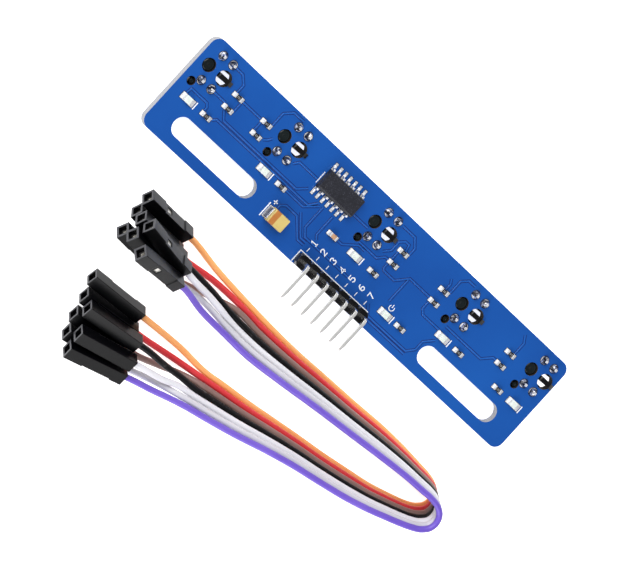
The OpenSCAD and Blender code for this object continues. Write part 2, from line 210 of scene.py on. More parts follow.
def metal(name, low, high, rough, scale, stretch=(1, 1, 1), depth=0.00001, metallic=1.0, painted_top_highlight=0.0):
    """Plated metal: streaks of tone and gloss along the stretch, and shallow handling marks.

    Faces that lie level lose metallic by as much as painted_top_highlight says, so their pale base colour
    shows as a painted highlight, and upright ones stay mirror-like.
    """
    n = Nodes(name)
    streak = n.noise(scale, 5, stretch, 0.6)
    dull = n.noise(scale / 3, 3)
    # Painted highlight: level top faces turn less metallic, so they show their pale base colour.
    level_face_highlight = n.scaled(n.step(n.upward(), 0.7, 0.95), painted_top_highlight)
    n.set(Base_Color=n.mix(streak, low, high), Metallic=n.math("SUBTRACT", metallic, level_face_highlight, clamp=True),
          Roughness=n.scaled(dull, 0.16, rough))
    return n.bump(streak, depth, 0.35)


def mask_colour(n, low, high):
    """Solder mask over glass cloth: a wide cloud of tone and a faint weave that follows the threads."""
    weave = n.mix(0.5, n.wave("X", 900, 1.2, 1.0), n.wave("Y", 900, 1.2, 1.0))
    return n.mix(n.scaled(weave, 0.03), n.mix(n.noise(45, 4), low, high), rgb(70, 130, 205)), weave


def board_material():
    """Blue mask on the two faces, and bare glass-fibre on the cut edges and the holes' walls."""
    n = Nodes("solder_mask")
    blue, weave = mask_colour(n, rgb(17, 62, 134), rgb(28, 88, 168))
    flat = n.step(n.math("ABSOLUTE", n.upward()), 0.4, 0.6)
    fibre = n.mix(n.wave("Z", 1300, 0.5, 2.0), rgb(120, 121, 125), rgb(162, 162, 165))
    n.set(Base_Color=n.mix(flat, fibre, blue), Roughness=n.math("SUBTRACT", 0.62, n.scaled(flat, 0.3)),
          Specular_IOR_Level=0.45)
    return n.bump(n.mix(flat, n.noise(2500, 3), weave), 0.000012, 0.25)


def film_material(name, low, high, rough):
    """Solder mask in another tone, over a track or in the gap beside one."""
    n = Nodes(name)
    blue, weave = mask_colour(n, low, high)
    n.set(Base_Color=blue, Roughness=rough, Specular_IOR_Level=0.45)
    return n.bump(weave, 0.00001, 0.2)


def solder_material():
    """Bright tin-lead: mirror patches with dull grey grain and a few flux stains between them."""
    n = Nodes("solder")
    grain = n.noise(2100, 4, rough=0.6)
    patch = n.noise(1300, 2)
    stain = n.scaled(n.step(n.noise(1500, 3), 0.5, 0.6), 0.85)
    bright = n.mix(n.step(patch, 0.46, 0.6), rgb(96, 98, 104), rgb(236, 236, 240))
    n.set(Base_Color=n.mix(stain, bright, rgb(44, 34, 32)), Metallic=0.9,
          Roughness=n.scaled(grain, 0.16, 0.05))
    return n.bump(n.mix(0.5, grain, patch), 0.00012, 0.8)


def epoxy_material():
    """Dark moulding compound: grains of filler over a faint cloud."""
    n = Nodes("epoxy_package")
    base = n.mix(n.noise(260, 4), rgb(20, 21, 26), rgb(40, 41, 50))
    grains = n.noise(5200, 3, rough=0.7)
    tone = n.mix(n.scaled(n.step(grains, 0.52, 0.7), 0.5), base, rgb(84, 86, 98))
    n.set(Base_Color=tone, Roughness=n.scaled(grains, 0.16, 0.42), Specular_IOR_Level=0.45)
    return n.bump(grains, 0.00003, 0.5)


def tantalum_material():
    """Yellow epoxy with the orange band that marks the positive end."""
    n = Nodes("tantalum_epoxy")
    band_start, band_end, blur = TANTALUM_AT[0] - 1.55, TANTALUM_AT[0] - 0.4, 0.05
    x = n.add("ShaderNodeSeparateXYZ", Vector=n.coords).outputs["X"]
    ragged = n.math("ADD", x, n.scaled(n.math("SUBTRACT", n.noise(1500, 2), 0.5), 0.12 * MM))
    after_start = n.step(ragged, (band_start - blur) * MM, (band_start + blur) * MM)
    after_end = n.step(ragged, (band_end - blur) * MM, (band_end + blur) * MM)
    yellow = n.mix(n.noise(500, 4), rgb(184, 158, 92), rgb(208, 188, 118))
    orange = n.mix(n.noise(700, 4), rgb(160, 98, 48), rgb(186, 124, 66))
    n.set(Base_Color=n.mix(n.math("SUBTRACT", after_start, after_end), yellow, orange), Roughness=0.42,
          Specular_IOR_Level=0.5)
    return n.bump(n.noise(3000, 2), 0.00001, 0.4)


def insulation(name, low, high, sss=0.0, spec=0.5):
    """PVC pulled through a die: a cloud of tone, pale scuffs and a soft uneven gloss."""
    n = Nodes("insulation_" + name)
    tone = n.mix(n.noise(160, 4), low, high)
    scuff = n.scaled(n.step(n.noise(700, 5, rough=0.7), 0.58, 0.75), 0.07)
    n.set(Base_Color=n.mix(scuff, tone, rgb(190, 188, 190)), Roughness=n.scaled(n.noise(900, 3), 0.12, 0.36),
          Specular_IOR_Level=spec)
    if sss:
        n.set(Subsurface_Weight=sss, Subsurface_Radius=(0.0005, 0.0004, 0.0004), Subsurface_Scale=0.3)
    return n.bump(n.noise(1600, 3), 0.00003, 0.35)


def lamp_material():
    """The white moulding of a small LED, which lets a little light in under a clear coat."""
    n = Nodes("lamp_white")
    tone = n.mix(n.noise(900, 3), rgb(196, 206, 200), rgb(232, 238, 232))
    n.set(Base_Color=tone, Roughness=0.28, Subsurface_Weight=0.25, Subsurface_Scale=0.2,
          Subsurface_Radius=(0.0004, 0.0005, 0.0004), Coat_Weight=0.4, Coat_Roughness=0.12)
    return n.bump(n.noise(2500, 2), 0.00001, 0.3)


def lens_material(name, low, high, clear):
    """A polished sensor lens. clear is how much light passes through it."""
    n = Nodes(name)
    n.set(Base_Color=n.mix(n.noise(400, 2), low, high), Roughness=n.scaled(n.noise(1200, 2), 0.06, 0.04),
          Transmission_Weight=clear, IOR=1.52, Coat_Weight=0.5)
    return n.bump(n.noise(1800, 2), 0.000006, 0.2)


def ink_material(name, low, high):
    """Screen-printed ink: matt, with an uneven tone and a rough top."""
    n = Nodes(name)
    n.set(Base_Color=n.mix(n.noise(2200, 3), low, high), Roughness=0.6)
    return n.bump(n.noise(4000, 2), 0.000008, 0.5)


MASK = board_material()
TRACK = film_material("track_mask", rgb(20, 70, 146), rgb(32, 98, 182), 0.28)
TRACK_GAP = film_material("gap_mask", rgb(8, 38, 96), rgb(12, 46, 108), 0.4)
PAD_GAP = film_material("pad_gap", rgb(6, 18, 44), rgb(10, 26, 60), 0.45)
BLACK = plastic("black_moulding", rgb(10, 10, 12), rgb(20, 20, 22), 0.28, 700)
# Painted highlight: a paler, teal-tinted copy of the black moulding for the posts' crowns.
POST_PAINTED_HIGHLIGHT = plastic("post_moulding_painted_highlight", rgb(12, 17, 18), rgb(34, 41, 42), 0.16, 700)
CONNECTOR = plastic("connector_plastic", rgb(7, 7, 9), rgb(14, 14, 17), 0.3, 500, depth=0.000004,
                    spec=0.26, speck=0.05)
# Painted highlight: a paler copy of the connector plastic for the housings' open-end rims, standing in for
# the light they catch.
RIM_PAINTED_HIGHLIGHT = plastic("connector_rim_painted_highlight", rgb(42, 42, 46), rgb(66, 66, 71), 0.45, 1400, spec=0.4)
EPOXY = epoxy_material()
RESISTOR = plastic("resistor_glaze", rgb(20, 20, 22), rgb(44, 42, 42), 0.3, 900, depth=0.00002)
CERAMIC = plastic("brown_ceramic", rgb(168, 124, 92), rgb(200, 158, 124), 0.55, 900, depth=0.00003)
# Painted shade: a dark brown for the liners inside the sensors' holes, in the place of the shade on their
# walls.
SHADE_IN_HOLES = plastic("painted_hole_shade", rgb(30, 24, 18), rgb(62, 52, 40), 0.7, 1500, depth=0.00004)
# Tin, pins and chip leads take a painted highlight on their level top faces.
TIN = metal("tin_plate", rgb(196, 197, 202), rgb(244, 244, 246), 0.18, 1500, depth=0.00003, painted_top_highlight=0.7)
PIN_METAL = metal("pin_plate", rgb(196, 196, 194), rgb(218, 217, 214), 0.16, 500, stretch=(3, 0.4, 3),
                  painted_top_highlight=0.62)
# Painted shade: a dark copy of the contact plating for the contacts' front ends inside the socket, where the
# housing shades them.
SHADED_CONTACT = metal("contact_painted_shade", rgb(44, 44, 46), rgb(84, 82, 80), 0.4, 900, metallic=0.6)
CONTACT = metal("contact_plate", rgb(214, 211, 204), rgb(244, 241, 234), 0.24, 900, stretch=(1, 3, 1),
                metallic=0.45)
CHIP_LEAD = metal("lead_plate", rgb(222, 223, 227), rgb(254, 254, 255), 0.16, 1500, depth=0.00003,
                  painted_top_highlight=0.85)
PART_END = metal("part_end_plate", rgb(176, 178, 184), rgb(255, 255, 255), 0.34, 2600, depth=0.00005,
                 metallic=0.5)
DULL_SOLDER = metal("dull_solder", rgb(58, 60, 66), rgb(150, 152, 160), 0.3, 1900, depth=0.00006,
                    metallic=0.8)
SOLDER = solder_material()
TANTALUM = tantalum_material()
LAMP = lamp_material()
INK = ink_material("printed_ink", rgb(214, 220, 228), rgb(252, 252, 252))
FAINT_INK = ink_material("faint_ink", rgb(150, 150, 152), rgb(196, 196, 198))
EMITTER = lens_material("emitter_lens", rgb(196, 206, 232), rgb(226, 232, 246), clear=0.85)
RECEIVER = lens_material("receiver_lens", rgb(18, 14, 20), rgb(32, 26, 34), clear=0.0)
INSULATION = {
    "orange": insulation("orange", rgb(246, 160, 90), rgb(255, 184, 116), sss=0.15),
    "red": insulation("red", rgb(196, 44, 50), rgb(220, 62, 66)),
    "brown": insulation("brown", rgb(112, 84, 78), rgb(146, 118, 110)),
    "black": insulation("black", rgb(8, 8, 10), rgb(18, 17, 20), spec=0.28),
    "white": insulation("white", rgb(206, 205, 211), rgb(228, 227, 232), sss=0.1),
    "grey": insulation("grey", rgb(190, 189, 195), rgb(210, 209, 215), sss=0.1),
    "purple": insulation("purple", rgb(92, 68, 176), rgb(118, 94, 200)),
}
COLOURS = list(INSULATION)      # in the ribbon's order


# ---------------------------------------------------------------- helpers for pieces

def link_mesh(name, mesh, material, body):
    """A piece that shows a mesh, riding on a body."""
    obj = bpy.data.objects.new(name, mesh)
    bpy.context.scene.collection.objects.link(obj)
    mesh.materials.append(material)
    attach(obj, body)
    return obj


def board_piece(name, bm, material, smooth=True):
    """A piece of the board from a bmesh drawn in millimetres in the row frame."""
    bmesh.ops.recalc_face_normals(bm, faces=bm.faces)
    bmesh.ops.scale(bm, vec=(MM, MM, MM), verts=bm.verts)
    mesh = bpy.data.meshes.new(name)
    bm.to_mesh(mesh)
    bm.free()
    obj = link_mesh(name, mesh, material, "board")
    if smooth:
        mesh.shade_smooth()
        mesh.set_sharp_from_angle(angle=math.radians(32))
    return obj


def rounded(node, name, material, width, body="board"):
    """A copy of a CAD node that stands for it, with its edges rounded as wide as width."""
    bm = bmesh.new()
    bm.from_mesh(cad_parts[node].data)
    bmesh.ops.remove_doubles(bm, verts=bm.verts, dist=1e-7)
    bmesh.ops.dissolve_limit(bm, angle_limit=math.radians(1), verts=bm.verts, edges=bm.edges)
    mesh = bpy.data.meshes.new(name)
    bm.to_mesh(mesh)
    bm.free()
    obj = link_mesh(name, mesh, material, body)
    bevel = obj.modifiers.new("edges", "BEVEL")
    bevel.width = width * MM
    bevel.segments = 2
    bevel.limit_method = "ANGLE"
    bevel.angle_limit = math.radians(30)
    mesh.shade_smooth()
    even = obj.modifiers.new("even", "WEIGHTED_NORMAL")
    even.weight = 100
    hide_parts(node)
    return obj


def paint_faces(piece, material, chosen):
    """A second material on the faces whose middle, in millimetres, is chosen."""
    piece.data.materials.append(material)
    for face in piece.data.polygons:
        face.material_index = 1 if chosen(face.center / MM) else 0


# ---------------------------------------------------------------- jumper lead
# The connectors' places and the wires' routes are those of part.scad, which this script can't read.

PLUG_L = 12.1           # length of a connector housing
WIRE_R = 0.6
WIRE_GAP = 0.02         # between a wire's end and its connector
LEAD_OUT = 2.5          # how far a wire runs straight out of its connector
RIBBON_PITCH = 1.3
FLOOR_GAP = 0.01        # under the ribbon's orange edge
SPAN_STEPS = 4          # smooth points for each span of a route
# Contacts are painted dark, as painted shade, up to this depth in the socket.
CONTACT_SHADE = 2.5     # the depth in a socket down to which its contact looks dark

# In the ribbon's order: the middle of the connector's open end, and its turn, tilt and roll in degrees
PLUGS_A = [
    ((-36.6, -15.7, 4.6), -1, 13, -57), ((-36, -18.6, 3.5), -3, 8, 33), ((-36.3, -22.8, 5.5), -2, 16, 33),
    ((-35.7, -19.1, 6.3), -3, 8.2, 33), ((-34.9, -19.2, 9.3), -7.1, 9.4, -57),
    ((-36, -22.2, 9.1), -3.5, 16.5, 33), ((-34.4, -23.6, 13.1), 2, 21, 33),
]
PLUGS_B = [
    ((-33.2, -32.3, 2.2), 3, 2, 208), ((-32, -35.6, 2.2), 5, 2, 208), ((-31.1, -39.2, 2.2), 7, 1.7, 208),
    ((-31, -36.9, 4.8), 6, 2, 208), ((-29.4, -41.1, 5.5), 11.5, 2, 208), ((-29.8, -42.3, 2.2), 9, 2, 208),
    ((-28.5, -44.4, 4.4), 14, 2, 118),
]
# x and y of the ribbon's orange edge, and the angle in degrees by which the ribbon stands up from flat
RIBBON = [
    (-8, -17.6, 31), (-2, -18, 34), (6, -18.3, 45), (14, -18.2, 52), (22, -18.1, 57), (30, -17.9, 61),
    (36, -18.1, 66), (40, -18.4, 69), (42.55, -18.6, 71), (44.55, -19, 72), (45.75, -19.6, 72),
    (46.4, -20.3, 72), (46.75, -21.15, 72), (46.8, -21.95, 72), (46.5, -22.95, 72), (46.05, -23.5, 72),
    (45.15, -24.25, 72), (43.45, -25.05, 72), (40.95, -25.8, 71), (38.2, -26.5, 70), (35, -27.2, 68),
    (30, -27.9, 64), (24, -28.7, 62), (18, -29.3, 59), (12, -30, 54), (6, -30.7, 46), (0, -31.2, 37),
    (-4, -31.6, 32),
]
# Points of each separate wire between its connector and the ribbon, from the connector inwards
FAN_A = [
    [(-16, -16.9, 0.9)], [(-15, -18.7, 1)], [(-17.5, -22.3, 0.8), (-12.5, -20.9, 0.9)],
    [(-15.5, -20.2, 3.4)], [(-15.5, -21.2, 4.9), (-11.5, -21.6, 4.1)], [(-15.5, -22.6, 4.3)],
    [(-15, -24, 5.9)],
]
FAN_B = [
    [(-11, -31.3, 0.9)], [(-11, -33.5, 1.2)], [(-12, -36.2, 0.8), (-7.5, -34.7, 1)],
    [(-12, -35.3, 3.8), (-8, -35, 3.1)], [(-11, -37.4, 4.6), (-7.5, -36.4, 3.8)],
    [(-11, -38.7, 2.6), (-7.5, -37.8, 3.7)], [(-11, -40.1, 3.9), (-7.5, -39.1, 4.3)],
]


def plug_frame(plug):
    """The connector's own frame: x from the open end towards the wire."""
    front, yaw, tilt, roll = plug
    turn = (Matrix.Rotation(math.radians(yaw), 4, "Z") @ Matrix.Rotation(math.radians(tilt), 4, "Y")
            @ Matrix.Rotation(math.radians(roll), 4, "X"))
    return Matrix.Translation(front) @ turn


def in_nearest_plug(place, plugs):
    """A place seen from the connector whose axis passes nearest to it."""
    seen = [plug_frame(plug).inverted() @ place for plug in plugs]
    return min(seen, key=lambda p: math.hypot(p.y, p.z))


def wire_route(k):
    """The points that wire k runs through, from its connector at end a to the one at end b."""
    a, b = plug_frame(PLUGS_A[k]), plug_frame(PLUGS_B[k])
    ribbon = []
    for x, y, angle in RIBBON:
        across = k * RIBBON_PITCH * math.cos(math.radians(angle))
        up = k * RIBBON_PITCH * math.sin(math.radians(angle))
        ribbon.append((x, y - across, WIRE_R + FLOOR_GAP + up))
    ends_a = [a @ Vector((PLUG_L + out, 0, 0)) for out in (WIRE_GAP, LEAD_OUT)]
    ends_b = [b @ Vector((PLUG_L + out, 0, 0)) for out in (LEAD_OUT, WIRE_GAP)]
    return [Vector(p) for p in ends_a + FAN_A[k] + ribbon + FAN_B[k][::-1] + ends_b]


def smooth_line(points):
    """Points of a smooth curve through the given ones, by centripetal Catmull-Rom spans."""
    ends = [points[0] * 2 - points[1]] + points + [points[-1] * 2 - points[-2]]
    line = []
    for p0, p1, p2, p3 in zip(ends, ends[1:], ends[2:], ends[3:]):
        t0 = 0.0
        t1 = t0 + (p1 - p0).length ** 0.5
        t2 = t1 + (p2 - p1).length ** 0.5
        t3 = t2 + (p3 - p2).length ** 0.5
        for i in range(SPAN_STEPS):
            t = t1 + (t2 - t1) * i / SPAN_STEPS
            a1 = p0 * ((t1 - t) / (t1 - t0)) + p1 * ((t - t0) / (t1 - t0))
            a2 = p1 * ((t2 - t) / (t2 - t1)) + p2 * ((t - t1) / (t2 - t1))
            a3 = p2 * ((t3 - t) / (t3 - t2)) + p3 * ((t - t2) / (t3 - t2))
            b1 = a1 * ((t2 - t) / (t2 - t0)) + a2 * ((t - t0) / (t2 - t0))
            b2 = a2 * ((t3 - t) / (t3 - t1)) + a3 * ((t - t1) / (t3 - t1))
            line.append(b1 * ((t2 - t) / (t2 - t1)) + b2 * ((t - t1) / (t2 - t1)))
    line.append(points[-1])
    return line


def make_connectors(end, plugs):
    """The black housings of one end, with a painted highlight on their open-end rims, and the contacts
    inside them, with painted shade on their front ends.
    """
    for name, plug in zip(COLOURS, plugs):
        housing = rounded(f"plug_{end}_{name}", f"connector_{end}_{name}", CONNECTOR, 0.1,
                          body="jumper_lead")
        to_plug = plug_frame(plug).inverted()
        # Painted highlight: the open-end rim faces take the paler copy of the plastic.
        paint_faces(housing, RIM_PAINTED_HIGHLIGHT, lambda place: abs((to_plug @ place).x) < 0.05)
    contacts = rounded(f"contacts_{end}", f"terminals_{end}", CONTACT, 0.05,
                       body="jumper_lead")
    # Painted shade: contact faces near the socket's open end take the dark copy of the plating.
    paint_faces(contacts, SHADED_CONTACT, lambda place: in_nearest_plug(place, plugs).x < CONTACT_SHADE)


def make_wire(k, name):
    """Wire k of the ribbon: a round tube along its smooth route."""
    route = wire_route(k)
    line = smooth_line(route)
    curve = bpy.data.curves.new("lead_" + name, "CURVE")
    curve.dimensions = "3D"
    curve.bevel_depth = WIRE_R * MM
    curve.bevel_resolution = 5
    curve.use_fill_caps = True
    spline = curve.splines.new("POLY")
    spline.points.add(len(line) - 1)
    for point, p in zip(spline.points, line):
        point.co = (*(p * MM), 1.0)
    wire = bpy.data.objects.new("lead_" + name, curve)
    bpy.context.scene.collection.objects.link(wire)
    curve.materials.append(INSULATION[name])
    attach(wire, "jumper_lead")
    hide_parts("wire_" + name)


make_connectors("a", PLUGS_A)
make_connectors("b", PLUGS_B)
for k, name in enumerate(COLOURS):
    make_wire(k, name)


# ---------------------------------------------------------------- shapes on the board

def block(bm, xs, ys, zs):
    """A plain box between two x, two y and two z."""
    low, high = [[bm.verts.new((xs[i], ys[j], z)) for i, j in ((0, 0), (1, 0), (1, 1), (0, 1))] for z in zs]
    bm.faces.new(low[::-1])
    bm.faces.new(high)
    for i in range(4):
        j = (i + 1) % 4
        bm.faces.new((low[i], low[j], high[j], high[i]))


def lathe(bm, at, profile, sides=28, lumps=0.0, phase=0.0):
    """A closed body turned about a vertical line through at, from (radius, height) pairs.

    lumps makes the radius vary round the body, by that share of it, as phase says.
    """
    rings = []
    for r, z in profile:
        if r < 1e-6:
            rings.append([bm.verts.new((at[0], at[1], at[2] + z))])
            continue
        ring_verts = []
        for i in range(sides):
            a = math.tau * i / sides
            swell = 0.5 + 0.35 * math.sin(2 * a + phase) + 0.35 * math.sin(3 * a + 2.3 * phase)
            q = r * (1 - lumps * swell)
            ring_verts.append(bm.verts.new((at[0] + q * math.cos(a), at[1] + q * math.sin(a), at[2] + z)))
        rings.append(ring_verts)
    for a, b in zip(rings, rings[1:]):
        for i in range(sides):
            j = (i + 1) % sides
            corners = [a[i % len(a)], a[j % len(a)], b[j % len(b)], b[i % len(b)]]
            kept = [v for n, v in enumerate(corners) if v not in corners[:n]]
            if len(kept) > 2:
                bm.faces.new(kept)


def ring(bm, place, inner, outer, z0, z1, sides=28):
    """A flat ring round a place on the board, between two heights."""
    profile = [(inner, z0), (outer, z0), (outer - 0.02, z1), (inner, z1), (inner, z0)]
    lathe(bm, (place[0], place[1] + BOARD_Y, 0), profile, sides)


def strip(bm, places, width, z0, z1, slope):
    """A low flat strip along places on the board, with mitred corners and sides that lean in by slope."""
    points = [Vector((x, y + BOARD_Y)) for x, y in places]
    rows = []
    for i, p in enumerate(points):
        into = (p - points[i - 1]).normalized() if i else None
        out = (points[i + 1] - p).normalized() if i < len(points) - 1 else None
        along = (into + out).normalized() if into and out else into or out
        lean = max(0.5, into.dot(along)) if into and out else 1.0
        normal = Vector((-along.y, along.x))
        row = []
        half = width / 2
        for reach, z in ((-half, z0), (slope - half, z1), (half - slope, z1), (half, z0)):
            q = p + normal * (reach / lean)
            row.append(bm.verts.new((q.x, q.y, z)))
        rows.append(row)
    for a, b in zip(rows, rows[1:]):
        for i in range(3):
            bm.faces.new((a[i], a[i + 1], b[i + 1], b[i]))
        bm.faces.new((a[3], a[0], b[0], b[3]))
    bm.faces.new(rows[0])
    bm.faces.new(rows[-1][::-1])


def wedge(bm, x, y, out, y_half, reach, height):
    """A small concave fillet from a part's end face at x out along its pad."""
    side = [(x + out * reach * share, TOP + h)
            for share, h in ((0.0, height), (0.25, height * 0.6), (0.6, height * 0.22), (1.0, 0.03))]
    side += [(side[-1][0], TOP), (side[0][0], TOP)]
    front, back = [[bm.verts.new((px, y + BOARD_Y + s * y_half, z)) for px, z in side] for s in (-1, 1)]
    bm.faces.new(front)
    bm.faces.new(back[::-1])
    for i in range(len(side)):
        j = (i + 1) % len(side)
        bm.faces.new((front[i], front[j], back[j], back[i]))


# ---------------------------------------------------------------- circuit board

TRACKS = [
    [(-41.2, 7.9), (-39.1, 7.9), (-37.6, 6.6), (-37.6, 4.9)], [(-35.6, 4.45), (-31, 4.45)],
    [(-28.5, 5), (-28.5, 7.8), (-27, 9.2), (-24.5, 9.2)], [(-35.7, 4), (-35.7, 2.2)],
    [(-30.5, 4), (-30.5, 2.3)], [(-41.2, 2.3), (-38, 2.3)],
    [(-37.2, 1.2), (-35.9, -0.2), (-17, -0.2), (-15.3, 1.3)],
    [(-44.6, -1), (-44.4, 0.1), (-40.5, 0.1), (-39.9, -0.5), (-39.9, -1.2)],
    [(-37.6, -1.5), (-37, -0.85), (-13.2, -0.85), (-12, 0.6)], [(-28, 2.1), (-27.3, 2.6), (-26.8, 3.3)],
    [(-20.7, 2.6), (-19.9, 3.6), (-15, 3.6)], [(-18.2, -1.6), (-13.7, -1.6), (-11.3, 0.4)],
    [(-10.7, 0.6), (-10.7, -4), (-9.4, -5.3), (2, -5.3)], [(-8.1, 0.6), (-8.1, -3.6), (-7.4, -4.3)],
    [(-17.1, -5), (-17.1, -4.2), (-16.2, -3.5), (-13.4, -3.5), (-10.2, -6.5), (-8.6, -6.5)],
    [(-13.3, -2.6), (-10, -5.9), (-8.6, -5.9)], [(-5.5, 3.4), (-1.5, 3.4)],
    [(-4.2, -1.8), (-3.2, -1.8), (-0.6, 0.1), (1, 0.1)], [(3.3, 7.9), (6.5, 7.9), (8, 6.4), (8, 5)],
    [(3.6, 2.2), (4.8, 3.4), (4.8, 5.4), (5.7, 6.2), (6.7, 6.2), (7, 5)],
    [(-1, 0.6), (3.6, 0.6), (4.8, 1.8), (5.6, 1.8)], [(6, 4.1), (6, 2.3)],
    [(6, 1.2), (6, 0.2), (6.4, -0.15), (9.2, -0.15), (11.3, 2), (16.8, 2)], [(11.2, 1.6), (11.2, -3.5)],
    [(8.5, -6.3), (10, -7.9), (20.3, -7.9), (21.6, -6.5), (21.6, -4.6), (23.3, -2.9)],
    [(9.5, -8.5), (20.5, -8.5)], [(19.1, 5), (19.1, 7.8), (20.3, 8.9), (22, 8.9)],
    [(17.4, 7), (18, 6.2), (18, 5)], [(17.1, 1.2), (17.1, -0.3), (18, -1.1), (22.5, -1.1)],
    [(23, 0.2), (32.5, 0.2), (34.3, 1.9), (35, 1.9)], [(37, 5), (37, 7.5), (36, 8.8)],
]


def make_tracks():
    """Copper tracks under the mask, each on a wider dark gap."""
    gaps = bmesh.new()
    tracks = bmesh.new()
    for line in TRACKS:
        strip(gaps, line, width=0.62, z0=TOP - 0.004, z1=TOP + 0.004, slope=0.01)
        strip(tracks, line, width=0.3, z0=TOP - 0.004, z1=TOP + 0.03, slope=0.05)
    board_piece("track_gaps", gaps, TRACK_GAP, smooth=False)
    board_piece("tracks", tracks, TRACK, smooth=False)


def make_pads():
    """Tinned copper pads round the leads and under the small parts, each in a gap of the mask."""
    pads = bmesh.new()
    gaps = bmesh.new()
    sink = 0.005            # how far the pads and gaps reach into the board

    def pad(x, y, half_x, half_y):
        for bm, wider, rise in ((pads, 0.0, 0.02), (gaps, 0.09, 0.008)):
            block(bm, (x - half_x - wider, x + half_x + wider),
                  (y + BOARD_Y - half_y - wider, y + BOARD_Y + half_y + wider), (TOP - sink, TOP + rise))

    for place in SENSOR_LEADS:
        ring(pads, place, inner=0.45, outer=0.8, z0=TOP - sink, z1=TOP + 0.03)
        ring(gaps, place, inner=0.76, outer=0.93, z0=TOP - sink, z1=TOP + 0.01)
    for place in PINS:
        ring(pads, place, inner=0.5, outer=0.95, z0=TOP - sink, z1=TOP + 0.03)
        ring(pads, place, inner=0.5, outer=0.95, z0=BOTTOM - 0.03, z1=BOTTOM + sink)
        ring(gaps, place, inner=0.9, outer=1.08, z0=BOTTOM - 0.01, z1=BOTTOM + sink)
    for side in (-1, 1):
        for x, y in RESISTORS + [BYPASS]:
            pad(x + side * 0.85, y, half_x=0.42, half_y=0.45)
        for x, y in LAMPS:
            pad(x + side * 1.05, y, half_x=0.5, half_y=0.65)
        for k in range(-3, 4):
            pad(CHIP[0] + k * CHIP_PITCH, CHIP[1] + side * 2.75, half_x=0.28, half_y=0.75)
        pad(TANTALUM_AT[0] + side * 1.65, TANTALUM_AT[1], half_x=0.75, half_y=1.2)
    board_piece("pads", pads, TIN, smooth=False)
    board_piece("pad_gaps", gaps, PAD_GAP, smooth=False)


def make_hole_shade_liners():
    """Painted shade: thin dark liners inside the holes that take each sensor's post, peg and clip, standing
    in for the shade on their walls.
    """
    bm = bmesh.new()
    for x, y in SENSORS:
        for dx, dy, r in HOLES:
            ring(bm, (x + dx, y + dy), r - 0.015, r, BOTTOM + 0.002, TOP - 0.002, sides=48)
    board_piece("hole_shade_liners", bm, SHADE_IN_HOLES)


def make_lead_solder():
    """Lumpy concave fillets that climb each sensor lead, no two the same."""
    bm = bmesh.new()
    for i, (x, y) in enumerate(SENSOR_LEADS):
        tall = 0.95 + 0.08 * math.sin(i * 2.4)
        wide = 0.86 + 0.05 * math.sin(i * 1.7)
        profile = [(0.35, 0.0), (wide, 0.02), (wide - 0.01, 0.12), (wide - 0.1, 0.3), (0.62, 0.5),
                   (0.52, 0.66), (0.44, 0.82), (0.36, tall), (0.2, tall + 0.04), (0.2, 0.05), (0.35, 0.0)]
        lathe(bm, (x, y + BOARD_Y, TOP), profile, lumps=0.24, phase=1.9 * i)
    piece = board_piece("lead_solder", bm, SOLDER)
    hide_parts("sensor_solder")


def make_header_solder():
    """Concave fillets round the header's pins, under the board."""
    bm = bmesh.new()
    for i, (x, y) in enumerate(PINS):
        deep = 0.78 + 0.04 * math.sin(i * 2.1)
        profile = [(0.47, 0.0), (0.84, -0.02), (0.8, -0.1), (0.66, -0.24), (0.54, -0.45), (0.5, -0.64),
                   (0.46, -deep), (0.34, -deep - 0.02), (0.34, -0.05), (0.47, 0.0)]
        lathe(bm, (x, y + BOARD_Y, BOTTOM), profile)
    piece = board_piece("pin_solder", bm, SOLDER)
    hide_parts("header_solder")


def make_part_solder():
    """Fillets at both ends of the small parts, and duller ones at the tantalum capacitor."""
    small = bmesh.new()
    large = bmesh.new()
    for side in (-1, 1):
        for x, y in RESISTORS:
            wedge(small, x + side * 0.81, y, side, y_half=0.38, reach=0.42, height=0.36)
        x, y = BYPASS
        wedge(small, x + side * 0.81, y, side, y_half=0.38, reach=0.42, height=0.55)
        for x, y in LAMPS:
            wedge(small, x + side * 1.01, y, side, y_half=0.58, reach=0.5, height=0.3)
        x, y = TANTALUM_AT
        wedge(large, x + side * 1.92, y, side, y_half=1.05, reach=0.42, height=0.7)
    board_piece("part_solder", small, PART_END, smooth=False)
    board_piece("tantalum_solder", large, DULL_SOLDER, smooth=False)


# Strokes of each digit, 0.8 wide and 1.2 high about its middle
DIGITS = {
    1: [[(-0.2, 0.35), (0.05, 0.6), (0.05, -0.6)], [(-0.22, -0.6), (0.32, -0.6)]],
    2: [[(-0.35, 0.35), (-0.2, 0.55), (0.15, 0.6), (0.36, 0.38), (0.3, 0.1), (-0.36, -0.6), (0.38, -0.6)]],
    3: [[(-0.35, 0.45), (-0.1, 0.6), (0.2, 0.58), (0.35, 0.32), (0.12, 0.05), (0.38, -0.25), (0.2, -0.56),
         (-0.12, -0.6), (-0.38, -0.42)]],
    4: [[(0.15, -0.6), (0.15, 0.6), (-0.4, -0.25), (0.42, -0.25)]],
    5: [[(0.35, 0.6), (-0.3, 0.6), (-0.34, 0.08), (0.1, 0.14), (0.38, -0.18), (0.24, -0.54), (-0.1, -0.62),
         (-0.38, -0.42)]],
    6: [[(0.28, 0.58), (-0.1, 0.5), (-0.35, 0.05), (-0.32, -0.42), (0, -0.62), (0.34, -0.42), (0.32, -0.08),
         (0, 0.08), (-0.32, -0.12)]],
    7: [[(-0.38, 0.6), (0.38, 0.6), (-0.05, -0.6)]],
}


